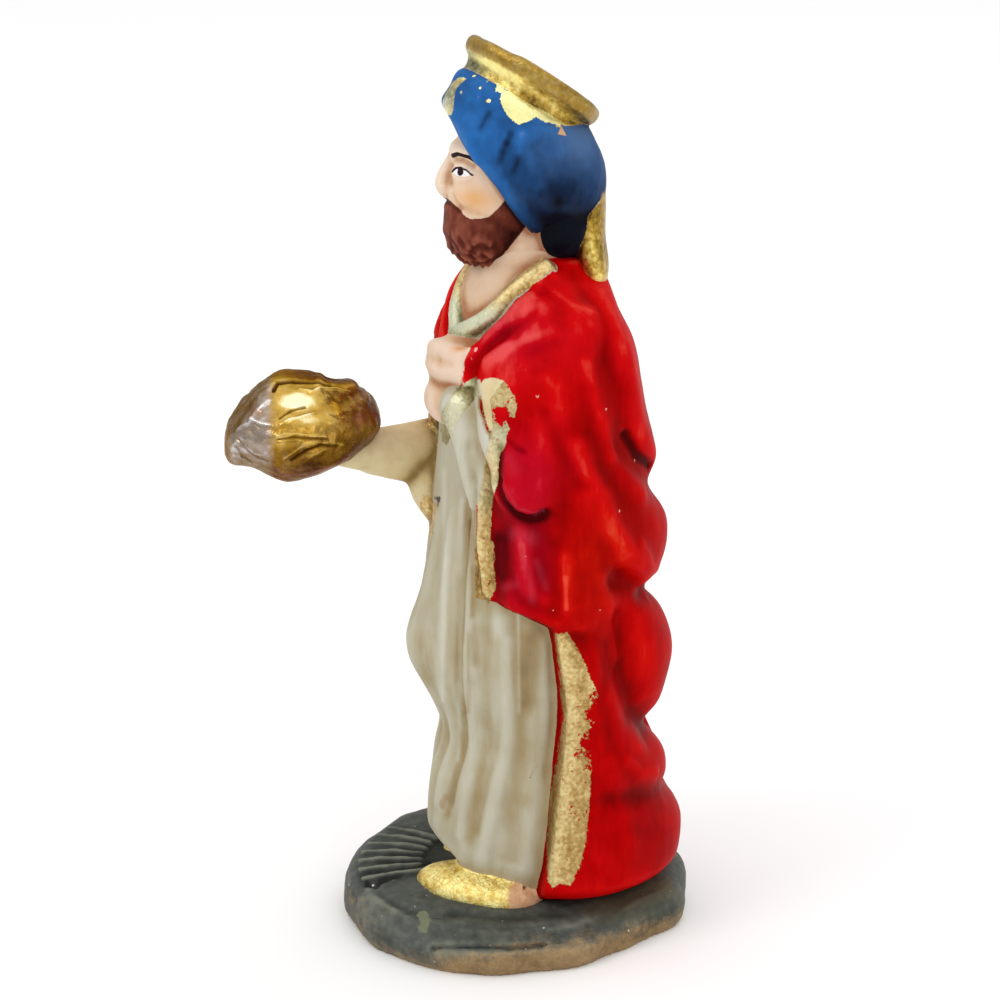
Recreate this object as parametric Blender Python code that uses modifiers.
"""A painted clay nativity figure: a wise man on a small ground base, and the wrapped gift in his right hand.

The figure faces -Y, its left is +X, +Z is up, and the origin is the middle of the base's underside.
Carving is written in millimetres of a figure of the usual size, and figure_point() turns it into metres.
"""

import math

import bmesh
import bpy
import numpy as np
from mathutils import Vector

# Driving sizes, in metres.
FIGURE_HEIGHT = 0.0947
BASE_RADIUS = 0.0198
BASE_THICKNESS = 0.0063
CLOAK_WIDTH = 0.0300
ARM_REACH = 0.0106
GIFT_WIDTH = 0.0182
GIFT_HEIGHT = 0.0118
FIT_GAP = 0.0003
GIFT_FLATS = 34
GIFT_SHARPNESS = 22

# The sizes that the carving below is written for; its own numbers are millimetres.
USUAL_HEIGHT = 0.0947
USUAL_FLOOR = 6.3
USUAL_CLOAK = 0.0300
USUAL_REACH = 0.0106
USUAL_BASE = 0.0198

VOXEL = 0.00062
FIGURE_TRIANGLES = 8300
GIFT_TRIANGLES = 1100
COLLECTION = "nativity_wise_man_figurine"


def clear_scene():
    """Empty the scene, and give the object's collection and the helpers' one."""
    for item in list(bpy.data.objects):
        bpy.data.objects.remove(item, do_unlink=True)
    kept = bpy.data.collections.new(COLLECTION)
    helpers = bpy.data.collections.new("helpers")
    for group in (kept, helpers):
        bpy.context.scene.collection.children.link(group)
    helpers.hide_render = True
    return kept, helpers


def smooth_table(stops, at):
    """A smooth curve through (place, value) stops, which never swings past them."""
    xs = np.array([stop[0] for stop in stops], float)
    ys = np.array([stop[1] for stop in stops], float)
    slope = np.diff(ys) / np.diff(xs)
    lean = np.zeros(len(xs))
    same = slope[1:] * slope[:-1] > 0
    total = slope[1:] + slope[:-1]
    lean[1:-1][same] = 2 * slope[1:][same] * slope[:-1][same] / total[same]
    at = np.clip(np.asarray(at, float), xs[0], xs[-1])
    i = np.clip(np.searchsorted(xs, at) - 1, 0, len(xs) - 2)
    step = xs[i + 1] - xs[i]
    t = (at - xs[i]) / step
    from_left = (1 + 2 * t) * (1 - t) ** 2 * ys[i] + t * (1 - t) ** 2 * step * lean[i]
    return from_left + t**2 * (3 - 2 * t) * ys[i + 1] - t**2 * (1 - t) * step * lean[i + 1]


def ease(value, low, high):
    """0 under low, 1 over high, and a soft step between them."""
    t = np.clip((value - low) / (high - low), 0, 1)
    return t * t * (3 - 2 * t)


def figure_point(points):
    """Carving points in millimetres, as metres on this figure's own base."""
    scale = FIGURE_HEIGHT / USUAL_HEIGHT
    points = np.array(points, float)
    points[..., 2] -= USUAL_FLOOR
    points = points * scale
    points[..., 2] += BASE_THICKNESS * 1000
    return points / 1000


class Shells:
    """Closed shapes that overlap, gathered to be made one solid."""

    def __init__(self):
        self.points = []
        self.faces = []
        self.count = 0

    def add(self, points, faces):
        """Add one closed shape."""
        self.points.append(np.asarray(points, float))
        self.faces.extend(tuple(int(i) + self.count for i in face) for face in faces)
        self.count += len(points)

    def loft(self, rings):
        """Add a shape through rings of points, closed at both ends."""
        rings = np.asarray(rings, float)
        rows, around = rings.shape[:2]
        ends = np.array([rings[0].mean(axis=0), rings[-1].mean(axis=0)])
        points = np.concatenate([rings.reshape(-1, 3), ends])
        low, high = rows * around, rows * around + 1
        faces = []
        for j in range(around):
            k = (j + 1) % around
            faces.append((low, k, j))
            faces.append((high, (rows - 1) * around + j, (rows - 1) * around + k))
            for i in range(rows - 1):
                a, b = i * around, (i + 1) * around
                faces.append((a + j, a + k, b + k, b + j))
        self.add(points, faces)

    def put(self, rings):
        """Add a shape whose rings are carving millimetres."""
        self.loft(figure_point(rings))

    def mesh(self, name):
        """The gathered shapes as one mesh."""
        mesh = bpy.data.meshes.new(name)
        mesh.from_pydata(np.concatenate(self.points).tolist(), [], self.faces)
        work = bmesh.new()
        work.from_mesh(mesh)
        bmesh.ops.recalc_face_normals(work, faces=work.faces)
        work.to_mesh(mesh)
        work.free()
        return mesh


def tube(path, radii, around=20, steps=10):
    """Rings of a tapering limb along a smooth path, rounded at both ends."""
    path, radii = np.array(path, float), np.array(radii, float)
    places = np.arange(len(path))
    fine = np.linspace(0, len(path) - 1, steps * (len(path) - 1) + 1)
    line = np.stack([smooth_table(list(zip(places, path[:, k])), fine) for k in range(3)], axis=1)
    width = smooth_table(list(zip(places, radii)), fine)
    along = np.gradient(line, axis=0)
    along /= np.linalg.norm(along, axis=1)[:, None]
    caps = [math.cos(angle) for angle in np.linspace(1.45, 0.2, 5)]
    rises = [math.sin(angle) for angle in np.linspace(1.45, 0.2, 5)]
    line = np.concatenate([
        [line[0] - along[0] * width[0] * rise for rise in rises], line,
        [line[-1] + along[-1] * width[-1] * rise for rise in rises[::-1]],
    ])
    width = np.concatenate([[width[0] * c for c in caps], width, [width[-1] * c for c in caps[::-1]]])
    along = np.concatenate([[along[0]] * 5, along, [along[-1]] * 5])
    side = np.cross(along, [0.13, 0.21, 0.97])
    side /= np.linalg.norm(side, axis=1)[:, None]
    other = np.cross(along, side)
    turn = np.linspace(0, 2 * math.pi, around, endpoint=False)
    round_a, round_b = np.cos(turn)[None, :, None], np.sin(turn)[None, :, None]
    return line[:, None] + width[:, None, None] * (side[:, None] * round_a + other[:, None] * round_b)


def ellipsoid(centre, axes, halves, around=32, rows=18):
    """Rings of an egg shape whose three axes point along the rows of axes."""
    fall = np.linspace(0.06, math.pi - 0.06, rows)
    turn = np.linspace(0, 2 * math.pi, around, endpoint=False)
    a = np.sin(fall)[:, None] * np.cos(turn)[None]
    b = np.sin(fall)[:, None] * np.sin(turn)[None]
    c = np.cos(fall)[:, None] * np.ones(around)[None]
    axes = np.array(axes, float)
    axes /= np.linalg.norm(axes, axis=1)[:, None]
    local = np.stack([a * halves[0], b * halves[1], c * halves[2]], axis=-1)
    return np.array(centre, float) + local @ axes


UPRIGHT = ((1, 0, 0), (0, 1, 0), (0, 0, 1))


def stroke(angle, height, line, width, lift, radius=14.0):
    """A ridge or a groove along a line of (degrees, height) stops on a round body."""
    best = np.full(np.broadcast(angle, height).shape, 1e9)
    mm = math.radians(1) * radius
    for (a0, h0), (a1, h1) in zip(line[:-1], line[1:]):
        along = np.array([(a1 - a0) * mm, h1 - h0])
        off_a, off_h = (angle - a0) * mm, height - h0
        share = np.clip((off_a * along[0] + off_h * along[1]) / (along @ along), 0, 1)
        gap = (off_a - share * along[0]) ** 2 + (off_h - share * along[1]) ** 2
        best = np.minimum(best, gap)
    return lift * np.exp(-best / width**2)


def bump(angle, height, at, size, lift, radius=14.0):
    """A soft swelling at (degrees, height), size long each way."""
    mm = math.radians(1) * radius
    a = (angle - at[0]) * mm / size[0]
    h = (height - at[1]) / size[1]
    return lift * np.exp(-(a * a) - h * h)


def oval(angle, wide, front, back):
    """The radius of an oval of these half sizes, at degrees from its front."""
    turn = np.radians(angle)
    deep = np.where(np.cos(turn) > 0, front, back)
    return 1 / np.sqrt((np.sin(turn) / wide) ** 2 + (np.cos(turn) / deep) ** 2)


def turned(angle):
    """Degrees brought between -180 and 180."""
    return (np.asarray(angle, float) + 180) % 360 - 180


ROBE_WIDE = ((4, 11.2), (10, 12.0), (18, 11.4), (23, 11.0), (32, 11.4), (46, 12.0), (66, 11.6),
             (70, 11.2), (73, 9.6), (75, 7.4), (77, 5.2), (80, 4.4), (86, 4.2))
ROBE_FRONT = ((4, 11.4), (10, 11.9), (18, 11.6), (23, 10.6), (32, 12.0), (40, 11.9), (46, 11.1),
              (60, 9.6), (66, 8.9), (70, 8.1), (73, 6.8), (75, 5.6), (77, 4.6), (80, 4.2), (86, 4.0))
ROBE_FOLDS = (
    (((20, 50), (19, 37), (17, 28), (8, 14)), 0.8, -0.7),
    (((8, 49), (10, 35), (-2, 12)), 1.0, 0.5),
    (((-8, 48), (-12, 36), (-14, 12)), 1.0, 0.5),
    (((29, 38), (26, 22), (22, 9)), 1.0, 0.6),
    (((36, 40), (35, 25), (26, 12)), 0.9, -0.6),
    (((45, 38), (45, 24), (32, 9)), 1.1, 0.7),
    (((54, 38), (55, 24), (50, 10)), 1.0, -0.5),
    (((62, 38), (64, 22), (60, 9)), 1.0, 0.5),
    (((-34, 47), (-30, 34), (-38, 12)), 1.0, -0.5),
    (((-48, 46), (-46, 28), (-52, 10)), 1.2, 0.6),
    (((-62, 44), (-62, 26), (-64, 10)), 1.0, -0.5),
)


ROBE_HEM = ((-180, 6.0), (-80, 7.4), (-30, 9.3), (0, 8.9), (25, 7.5), (45, 6.4), (64, 5.8), (180, 5.8))


def robe_radius(angle, height):
    """The gown's outline, with the right knee pushed forward and its long folds."""
    angle = turned(angle)
    front = smooth_table(ROBE_FRONT, height)
    radius = oval(angle, smooth_table(ROBE_WIDE, height), front, front * 0.9)
    radius += bump(angle, height, (-22, 33.2), (7.0, 5.2), 2.3)
    radius += bump(angle, height, (-15, 21.5), (8.0, 3.5), -0.7)
    for line, width, lift in ROBE_FOLDS:
        radius += stroke(angle, height, line, width, lift, 11.5)
    return radius


CLOAK_WIDE = ((6, 15.6), (8, 16.6), (13, 16.2), (20, 15.3), (30, 14.8), (40, 15.0), (50, 15.2),
              (60, 14.6), (66, 13.8), (70, 12.6), (73, 10.8), (75, 8.6), (77, 6.2))
CLOAK_BACK = ((6, 14.8), (8, 15.5), (11, 15.6), (15, 14.0), (20, 12.9), (30, 12.6), (40, 11.9),
              (50, 11.6), (58, 10.3), (63, 9.6), (68, 8.7), (72, 6.8), (75, 6.2), (77, 5.0))
CLOAK_FRONT = ((6, 12.0), (30, 12.0), (50, 12.6), (60, 12.8), (66, 12.4), (70, 10.8), (73, 8.6), (77, 5.6))
NEAR_EDGE = ((6, 60), (10, 63), (20, 68), (28, 71), (34, 68), (40, 64), (48, 60), (76, 58))
FAR_EDGE = ((6, -64), (20, -68), (30, -66), (38, -58), (43, -46), (50, -44), (60, -42), (68, -36), (76, -44))
CLOAK_FOLDS = (
    (((88, 72), (89, 61), (108, 55.5), (130, 52), (160, 50.5)), 2.0, -1.3),
    (((99, 72), (106, 65), (109, 59), (124, 55)), 2.4, 0.7),
    (((80, 68), (85, 61), (92, 56.5), (108, 52.5)), 1.4, 0.8),
    (((74, 59), (79, 54), (89, 49.6), (102, 44.8), (110, 42)), 1.5, 1.1),
    (((97, 43), (116, 40.6), (132, 39.8), (165, 39.2)), 1.8, -2.0),
    (((98, 38), (101, 32), (109, 27), (124, 23.8), (165, 22.4)), 2.0, -2.0),
    (((92, 18), (112, 17), (135, 15.8), (165, 15)), 1.3, -0.8),
    (((84, 34), (90, 24), (98, 12)), 1.6, 0.5),
    (((-78, 66), (-86, 56), (-104, 50), (-132, 46)), 1.8, -1.3),
    (((-72, 54), (-84, 46), (-104, 41), (-140, 37)), 1.6, 1.0),
    (((-92, 38), (-110, 33), (-140, 29)), 1.9, -1.5),
    (((-80, 30), (-92, 21), (-118, 17), (-150, 15)), 1.6, 0.9),
    (((-100, 72), (-112, 62), (-140, 56)), 2.0, 0.7),
    (((178, 66), (176, 58), (180, 53)), 2.2, -0.9),
    (((-168, 36), (-160, 26), (-165, 12)), 2.0, -0.9),
)
CLOAK_SWELLS = (
    ((138, 46.5), (9.0, 4.6), 1.4),
    ((140, 32.6), (9.0, 4.8), 1.7),
    ((140, 19.0), (9.0, 2.6), 0.6),
    ((140, 11.4), (9.0, 3.0), 0.4),
    ((150, 57.0), (8.0, 3.4), 0.7),
    ((-145, 42.0), (9.0, 4.6), 1.3),
    ((-140, 23.0), (9.0, 5.0), 1.2),
)


def cloak_radius(angle, height, shift=0.0):
    """The cloak's outer face, with its broken diagonal folds."""
    angle = turned(angle)
    wide = smooth_table(CLOAK_WIDE, height) * CLOAK_WIDTH / USUAL_CLOAK
    radius = oval(angle, wide, smooth_table(CLOAK_FRONT, height), smooth_table(CLOAK_BACK, height))
    for line, width, lift in CLOAK_FOLDS:
        radius += stroke(angle, height, line, width, lift)
    for at, size, lift in CLOAK_SWELLS:
        radius += bump(angle, height, at, size, lift)
    return radius + shift


def wrapped(angle, height, cover, outer, centre, inner_drop=4.0):
    """Points of a cloth that stands at outer where cover is over 0, and sinks into the body elsewhere."""
    share = ease(cover, -0.35, 0.45)
    radius = outer - (1 - share) * inner_drop
    turn = np.radians(angle)
    x = radius * np.sin(turn)
    y = centre - radius * np.cos(turn)
    return np.stack([x, y, np.broadcast_to(height, x.shape)], axis=-1)


def cloak_rings():
    """The cloak, open at the front from one edge to the other, rounded in under its hem."""
    heights = np.concatenate([np.linspace(3.6, 9.0, 22), np.linspace(9.5, 77.2, 130)])[:, None]
    angles = np.linspace(-180, 180, 180, endpoint=False)[None]
    near = (angles - smooth_table(NEAR_EDGE, heights)) * 0.26
    far = (smooth_table(FAR_EDGE, heights) - angles) * 0.26
    cover = np.maximum(near, far)
    outer = cloak_radius(angles, heights)
    outer = outer - 0.6 * (1 - ease(heights, 6.2, 8.2)) ** 2 - 2.6 * (1 - ease(heights, 5.3, 6.5))
    outer = outer + 0.35 * np.exp(-((cover - 0.9) / 0.8) ** 2)
    return wrapped(angles, heights, cover, outer, 3.5)


FLAP_EDGE = ((36, 33), (41, 31), (48, 28), (56, 30), (61, 34), (65, 40), (68, 44), (76, 60))
FLAP_HEM = ((20, 40.8), (34, 40.2), (50, 39.4), (66, 37.9), (80, 37.2), (120, 36.8))


def flap_rings():
    """The part of the cloak that comes forward over the left arm and hangs to a slanting hem."""
    heights = np.linspace(36.5, 76.5, 90)[:, None]
    angles = np.linspace(-20, 150, 120)
    angles = np.concatenate([angles, np.linspace(160, 330, 12)])[None]
    edge = smooth_table(FLAP_EDGE, heights)
    hem = smooth_table(FLAP_HEM, angles)
    cover = np.minimum((angles - edge) * 0.24, (heights - hem) * 0.9)
    fade = 1 - ease(angles, 74, 104)
    outer = cloak_radius(angles, heights, 0.9) * fade + (cloak_radius(angles, heights) - 1.5) * (1 - fade)
    outer += stroke(angles, heights, ((70.5, 46), (70.5, 39)), 0.9, 0.6)
    outer += stroke(angles, heights, ((38, 52), (40, 41)), 1.4, -0.6)
    outer += stroke(angles, heights, ((52, 47), (50, 40)), 1.6, 0.5)
    outer += stroke(angles, heights, ((60, 49), (60, 41)), 1.4, -0.5)
    outer -= 1.0 * (1 - ease(heights - hem, 0.0, 1.6)) ** 2
    return wrapped(angles, heights, cover, outer, 3.5)


def robe_rings():
    """The gown and the chest and neck above it."""
    heights = np.linspace(4.0, 86.0, 140)[:, None]
    angles = np.linspace(-180, 180, 160, endpoint=False)[None]
    radius = robe_radius(angles, heights)
    hem = smooth_table(ROBE_HEM, turned(angles))
    radius = radius - 3.2 * (1 - ease(heights - hem, -0.4, 2.2)) ** 2
    turn = np.radians(angles)
    centre = smooth_table(((4, 2.0), (60, 2.0), (70, 1.6), (76, 0.8), (86, 0.6)), heights)
    x = radius * np.sin(turn)
    return np.stack([x, centre - radius * np.cos(turn), np.broadcast_to(heights, x.shape)], axis=-1)


BASE_OUTLINE = ((-180, 20.0), (-150, 19.4), (-120, 18.9), (-90, 18.4), (-76, 18.6), (-60, 19.4), (-36, 19.6),
                (-14, 20.0), (10, 20.1), (22, 20.4), (36, 20.3), (57, 19.7), (80, 18.7), (107, 17.9),
                (122, 18.2), (140, 20.0), (160, 20.1), (180, 20.0))
BASE_SIDE = ((-1.0, 0.945), (0.0, 0.955), (0.1, 0.985), (0.35, 1.0), (0.55, 0.995), (0.74, 0.972),
             (0.88, 0.925), (0.96, 0.85), (1.0, 0.72), (1.02, 0.3))


def base_rings():
    """The ground: an uneven pebble shape, pressed by hand, whose underside is cut flat later."""
    angles = np.linspace(-180, 180, 120, endpoint=False)
    outline = smooth_table(BASE_OUTLINE, angles) * BASE_RADIUS / USUAL_BASE
    outline = outline + 0.18 * np.sin(np.radians(angles * 9 + 20)) + 0.12 * np.sin(np.radians(angles * 14))
    turn = np.radians(angles)
    thick = BASE_THICKNESS * 1000
    rings = []
    for rise, share in BASE_SIDE:
        z = rise * thick if rise > 0 else rise
        wave = 0.25 * np.sin(turn * 3 + 1.0) + 0.18 * np.sin(turn * 7) if 0 < rise < 0.9 else 0 * turn
        slope = -0.25 * thick * np.cos(turn - math.radians(76)) * share * ease(rise, 0.3, 0.9)
        rings.append(np.stack([outline * share * np.sin(turn), -outline * share * np.cos(turn),
                               z + wave * (rise > 0) + slope], axis=1))
    return np.array(rings) / 1000


HEAD_TURN = math.radians(-25)
AHEAD = np.array([math.sin(HEAD_TURN), -math.cos(HEAD_TURN), 0.0])
ASIDE = np.array([math.cos(HEAD_TURN), math.sin(HEAD_TURN), 0.0])
RISE = np.array([0.0, 0.0, 1.0])
HEAD_AXIS = np.array([0.3, 0.5, 0.0])


def head_point(ahead, aside, height):
    """A place given as forward, left and up of the turned head."""
    return HEAD_AXIS + AHEAD * ahead + ASIDE * aside + RISE * height


def head_axes(tip):
    """Axes of a form that leans tip degrees back in the head's middle plane."""
    lean = math.radians(tip)
    forward = AHEAD * math.cos(lean) + RISE * math.sin(lean)
    upward = RISE * math.cos(lean) - AHEAD * math.sin(lean)
    return (forward, ASIDE, upward)


def add_head(shells):
    """Face, beard, turban and the crown that leans back on it."""
    put = shells.put
    put(ellipsoid(head_point(1.6, 0, 85.6), head_axes(8), (6.6, 5.7, 8.4)))
    put(ellipsoid(head_point(3.6, 0, 80.9), head_axes(-6), (4.9, 5.0, 4.7)))
    put(ellipsoid(head_point(5.0, 0, 88.9), head_axes(0), (2.9, 4.4, 1.5)))
    nose = [head_point(7.4, 0, 88.0), head_point(8.7, 0, 84.9), head_point(8.0, 0, 84.0)]
    put(tube(nose, [0.75, 1.05, 0.95]))
    put(ellipsoid(head_point(7.5, 0, 82.4), head_axes(0), (1.3, 2.3, 1.0)))
    for side in (-1, 1):
        put(ellipsoid(head_point(5.4, 2.9 * side, 84.4), head_axes(0), (2.2, 1.9, 2.0)))
    put(ellipsoid(head_point(-0.1, 0, 88.5), head_axes(43), (10.6, 8.3, 7.2), 48, 26))
    roll = []
    for turn in np.linspace(-150, 150, 19):
        a = math.radians(turn)
        spot = np.array(head_point(1.0, 0, 85.9))
        forward, side, _ = head_axes(50)
        roll.append(spot + forward * 9.2 * math.cos(a) + side * 7.2 * math.sin(a))
    put(tube(roll, [1.1] * len(roll), 14, 3))
    put(ellipsoid(head_point(-4.4, 0, 80.8), head_axes(20), (3.6, 5.4, 4.4)))
    add_crown(put)


CROWN = ((7.2, -3.0), (7.25, -1.2), (7.25, 0.6), (7.45, 1.7), (7.8, 2.3), (8.15, 2.8), (8.2, 3.3),
         (8.0, 3.75), (7.5, 3.9), (7.0, 3.7), (6.6, 3.1), (6.0, 2.6), (4.3, 2.4), (1.0, 2.3))


def add_crown(put):
    """The flared crown, a shallow dish with a rolled rim."""
    forward, side, upward = (np.array(axis) for axis in head_axes(32))
    lean = math.radians(10)
    across = side * math.cos(lean) + upward * math.sin(lean)
    axis = upward * math.cos(lean) - side * math.sin(lean)
    spot = head_point(0.4, 0, 93.7)
    turn = np.linspace(0, 2 * math.pi, 48, endpoint=False)[:, None]
    circle = forward * np.cos(turn) + across * 0.97 * np.sin(turn)
    put(np.array([spot + circle * radius + axis * rise for radius, rise in CROWN]))


def add_veil(shells):
    """The cloth that hangs from the back of the turban to the shoulders."""
    rings = []
    for height in np.linspace(72.5, 88.0, 16):
        wide = smooth_table(((72, 5.6), (78, 4.8), (84, 3.6), (88, 2.6)), height)
        out = smooth_table(((72, 10.0), (76, 9.6), (80, 9.2), (84, 9.2), (86, 8.9), (88, 8.0)), height)
        turn = np.linspace(0, 2 * math.pi, 32, endpoint=False)
        back = out - 1.9 + 1.9 * np.cos(turn)
        ring = [head_point(-b, wide * math.sin(t), height) for b, t in zip(back, turn)]
        rings.append(ring)
    shells.put(rings)


def add_limbs(shells):
    """Both arms, the hand on the chest, the rolled cloak edge, the sleeves and the feet."""
    put = shells.put
    put(tube([(9.6, 1.5, 70.0), (11.4, -1.4, 63.0), (11.7, -4.2, 56.6)], [3.8, 3.9, 3.9]))
    put(tube([(11.6, -4.8, 56.2), (8.6, -6.5, 60.6), (5.2, -7.8, 64.6)], [3.7, 3.4, 2.7]))
    put(ellipsoid((8.2, -4.4, 63.6), UPRIGHT, (4.9, 4.5, 6.6)))
    put(ellipsoid((11.0, 1.4, 60.5), UPRIGHT, (4.2, 5.0, 9.0)))
    put(ellipsoid((11.8, -4.8, 54.9), ((0.883, -0.469, 0), (0.469, 0.883, 0), (0, 0, 1)), (3.5, 4.0, 4.3)))
    put(tube([(6.6, -0.4, 75.6), (5.8, -4.9, 72.0), (3.9, -8.0, 67.7), (3.5, -9.1, 65.6), (4.6, -9.3, 63.6)],
             [1.2, 1.5, 1.6, 1.3, 0.9]))
    put(tube([(11.2, -2.2, 70.6), (9.2, -5.4, 68.4), (6.4, -7.8, 66.2)], [1.3, 1.5, 1.2]))
    put(tube([(-6.8, -0.6, 75.8), (-6.0, -4.2, 72.2), (-4.6, -6.2, 67.8)], [1.2, 1.2, 1.0]))
    put(ellipsoid((0.2, -8.2, 66.4), UPRIGHT, (3.4, 2.2, 2.5)))
    put(ellipsoid((0.0, -8.6, 61.6), UPRIGHT, (3.1, 2.2, 2.6)))
    put(tube([(3.4, -8.4, 61.8), (4.8, -8.1, 57.5), (5.0, -7.6, 51.2)], [2.6, 2.1, 1.0]))
    put(tube([(6.4, 0.2, 77.4), (3.8, -4.8, 73.4), (0.6, -6.9, 69.4)], [0.7, 0.8, 0.7]))
    put(tube([(-6.0, 0.2, 77.0), (-3.6, -4.8, 73.0), (0.6, -6.9, 69.4)], [0.7, 0.8, 0.7]))
    add_right_arm(put)
    put(ellipsoid((5.0, -7.4, 5.5), ((-0.8, -0.6, 0.03), (-0.6, 0.8, 0), (0, 0, 1)), (7.6, 4.3, 2.9)))
    put(ellipsoid((-5.4, -7.0, 6.8), ((-0.26, -0.96, 0.0), (-0.96, 0.26, 0), (0, 0, 1)), (5.4, 3.0, 2.3)))


def arm_end():
    """The wrist, in carving millimetres: the reach is the forearm's length from the elbow."""
    reach = ARM_REACH * 1000
    return np.array([-12.0, -1.0, 52.6]) + np.array([-0.02, -0.995, 0.07]) * reach


def add_right_arm(put):
    """The right arm, held forward in a sleeve that widens to the elbow."""
    wrist = arm_end()
    put(tube([(-10.2, 1.5, 70.0), (-12.6, 0.6, 62.0), (-12.4, 0.0, 54.0)], [3.4, 3.2, 3.6]))
    middle = (np.array([-12.2, -1.0, 52.6]) + wrist) / 2
    put(tube([(-12.0, -0.5, 52.4), middle + np.array([0, 0, -0.3]), wrist], [4.3, 3.6, 2.7]))
    put(tube([(-11.6, -4.0, 51.2), (-8.6, -4.4, 48.5), (-7.6, -4.0, 45.5)], [3.2, 2.6, 1.4]))


HAND = ((0, 0, 0), (0, -2.2, 0.3), (0, -4.0, 0.6))


def hand_rings(swell):
    """The closed right hand at the wrist, fuller all round by swell."""
    spots = [arm_end() + np.array(step) for step in HAND]
    return tube(spots, [2.4 + swell, 2.1 + swell, 1.8 + swell])


def facet_normals(count):
    """Directions spread over a ball, a little off even, one for each flat of the crumpled wrapping."""
    k = np.arange(count) + 0.5
    rise = 1 - 2 * k / count
    turn = k * 2.39996 + 0.35 * np.sin(k * 3.7)
    rise = np.clip(rise + 0.06 * np.sin(k * 5.3), -1, 1)
    level = np.sqrt(1 - rise**2)
    return np.stack([level * np.cos(turn), rise, level * np.sin(turn)], axis=1)


def gift_rings():
    """The wrapped gift: a crumpled bundle of soft flats, with a lid line and slanting creases."""
    scale = FIGURE_HEIGHT / USUAL_HEIGHT
    halves = np.array([GIFT_WIDTH * 0.84, GIFT_WIDTH, GIFT_HEIGHT]) * 500 / scale
    fall = np.linspace(0.04, math.pi - 0.04, 40)[:, None]
    turn = np.linspace(0, 2 * math.pi, 64, endpoint=False)[None]
    level = np.sin(fall)
    ways = np.stack([level * np.cos(turn), np.cos(fall) + 0 * turn, level * np.sin(turn)], axis=-1)
    normals = facet_normals(GIFT_FLATS)
    k = np.arange(GIFT_FLATS)
    reach = np.linalg.norm(normals * halves, axis=1) * (0.965 + 0.05 * np.sin(k * 7.1))
    facing = np.maximum(ways @ normals.T / reach, 0)
    radius = (facing**GIFT_SHARPNESS).sum(axis=-1) ** (-1 / GIFT_SHARPNESS)
    points = ways * radius[..., None]
    height = points[..., 2] / halves[2]
    swell = 1 - 0.05 * np.exp(-(((height - 0.60 - 0.10 * ways[..., 1]) / 0.10) ** 2))
    swell = swell - 0.04 * np.exp(-(((height + 0.15 - 0.55 * ways[..., 1]) / 0.11) ** 2))
    points = points * swell[..., None]
    points[..., 1] += 0.32 * points[..., 2]
    return gift_centre() + points


def gift_centre():
    """The gift's middle, ahead of the wrist and over the hidden hand."""
    half = GIFT_WIDTH * 500 / (FIGURE_HEIGHT / USUAL_HEIGHT)
    return arm_end() + np.array([-0.4, 0.2 - half, 4.0])


def paint(name, colour, roughness, metallic=0.0):
    """A plain painted surface of its own."""
    material = bpy.data.materials.new(name)
    material.use_nodes = True
    shader = material.node_tree.nodes["Principled BSDF"]
    shader.inputs["Base Color"].default_value = (*colour, 1.0)
    shader.inputs["Roughness"].default_value = roughness
    shader.inputs["Metallic"].default_value = metallic
    return material


def triangles_now(item):
    """How many triangles the object's modifiers give."""
    graph = bpy.context.evaluated_depsgraph_get()
    shape = item.evaluated_get(graph).to_mesh()
    shape.calc_loop_triangles()
    count = len(shape.loop_triangles)
    item.evaluated_get(graph).to_mesh_clear()
    return count


def merge_to_one(item, voxel, target):
    """Fuse the overlapping forms to one skin, soften it and bring it to the target count."""
    fuse = item.modifiers.new("fuse", "REMESH")
    fuse.mode = "VOXEL"
    fuse.voxel_size = voxel
    fuse.use_smooth_shade = True
    soften = item.modifiers.new("soften", "SMOOTH")
    soften.factor = 0.5
    soften.iterations = 2
    thin = item.modifiers.new("thin", "DECIMATE")
    thin.ratio = 1.0
    bpy.context.view_layer.update()
    thin.ratio = min(1.0, target / triangles_now(item))
    for step in (fuse, soften, thin):
        step.show_render = step.show_viewport


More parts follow.
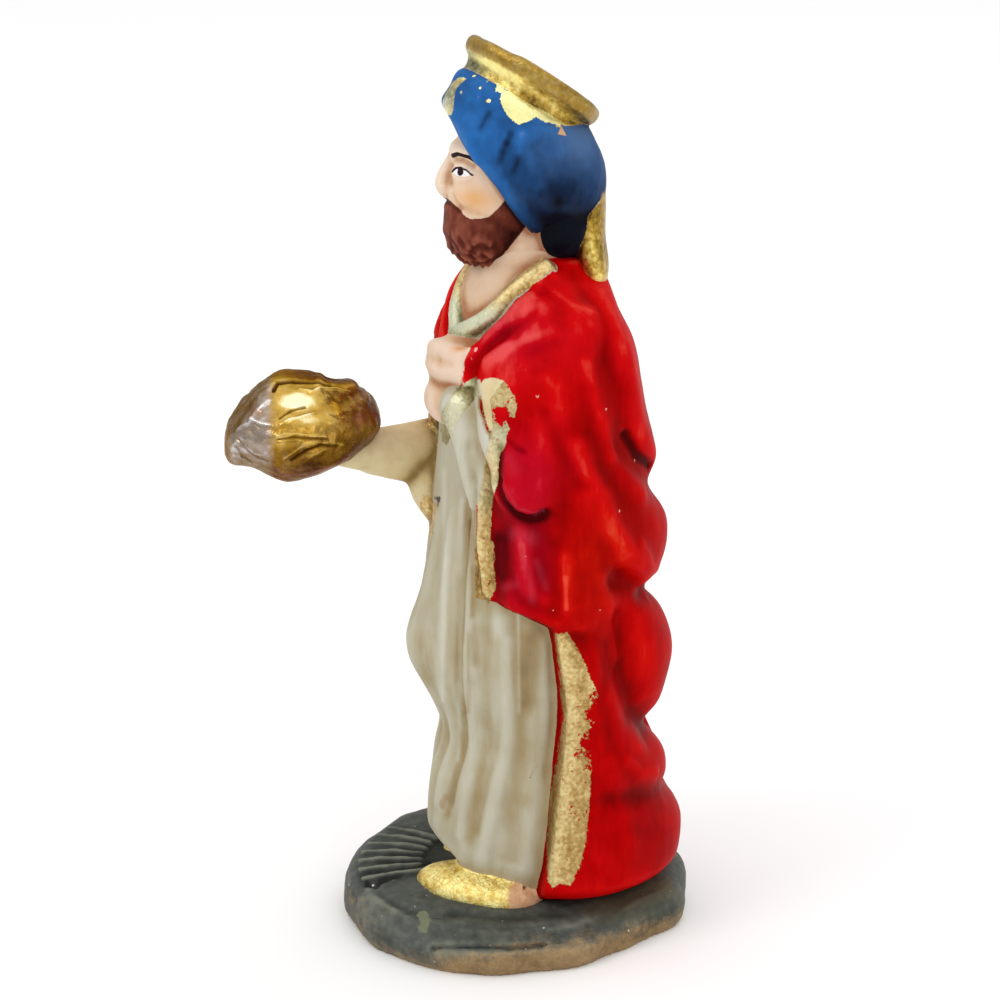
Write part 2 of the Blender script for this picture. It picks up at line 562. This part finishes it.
def cut_with(item, cutter, name):
    """Take the cutter's solid away from the object."""
    cut = item.modifiers.new(name, "BOOLEAN")
    cut.operation = "DIFFERENCE"
    cut.solver = "EXACT"
    cut.object = cutter


def helper(name, mesh, group):
    """A hidden solid that only shapes the others."""
    item = bpy.data.objects.new(name, mesh)
    item.hide_render = True
    item.display_type = "WIRE"
    group.objects.link(item)
    return item


def ground_cutter(group):
    """A slab under the base, whose top is the flat underside."""
    deep = 0.01
    wide = 4 * BASE_RADIUS
    shells = Shells()
    corners = [(-wide, -wide), (wide, -wide), (wide, wide), (-wide, wide)]
    shells.loft([[(x, y, z) for x, y in corners] for z in (-deep, 0.0)])
    return helper("ground", shells.mesh("ground"), group)


def hand_socket(group):
    """The room that the hand needs inside the gift, with the fit gap all round."""
    shells = Shells()
    gap = FIT_GAP * 1000 / (FIGURE_HEIGHT / USUAL_HEIGHT)
    shells.put(hand_rings(gap + 0.25))
    return helper("hand_room", shells.mesh("hand_room"), group)


def build_figure(kept, cutter):
    """The figure and its base, moulded as one solid."""
    shells = Shells()
    shells.loft(base_rings())
    for rings in (robe_rings(), cloak_rings(), flap_rings()):
        shells.put(rings)
    add_head(shells)
    add_veil(shells)
    add_limbs(shells)
    shells.put(hand_rings(0.0))
    item = bpy.data.objects.new("figure", shells.mesh("figure"))
    kept.objects.link(item)
    item.data.materials.append(paint("painted_clay", (0.55, 0.03, 0.03), 0.55))
    merge_to_one(item, VOXEL, FIGURE_TRIANGLES)
    cut_with(item, cutter, "flat_underside")
    return item


def build_gift(kept, socket):
    """The gift, a solid of its own that sits over the hand."""
    shells = Shells()
    shells.put(gift_rings())
    item = bpy.data.objects.new("gift", shells.mesh("gift"))
    kept.objects.link(item)
    item.data.materials.append(paint("lacquered_gold", (0.55, 0.38, 0.16), 0.25, 0.9))
    merge_to_one(item, 0.0004, GIFT_TRIANGLES)
    cut_with(item, socket, "hand_room")
    return item


def main():
    """Build the figure, then the gift it holds."""
    kept, helpers = clear_scene()
    ground = ground_cutter(helpers)
    socket = hand_socket(helpers)
    build_figure(kept, ground)
    build_gift(kept, socket)
    bpy.context.view_layer.update()


main()
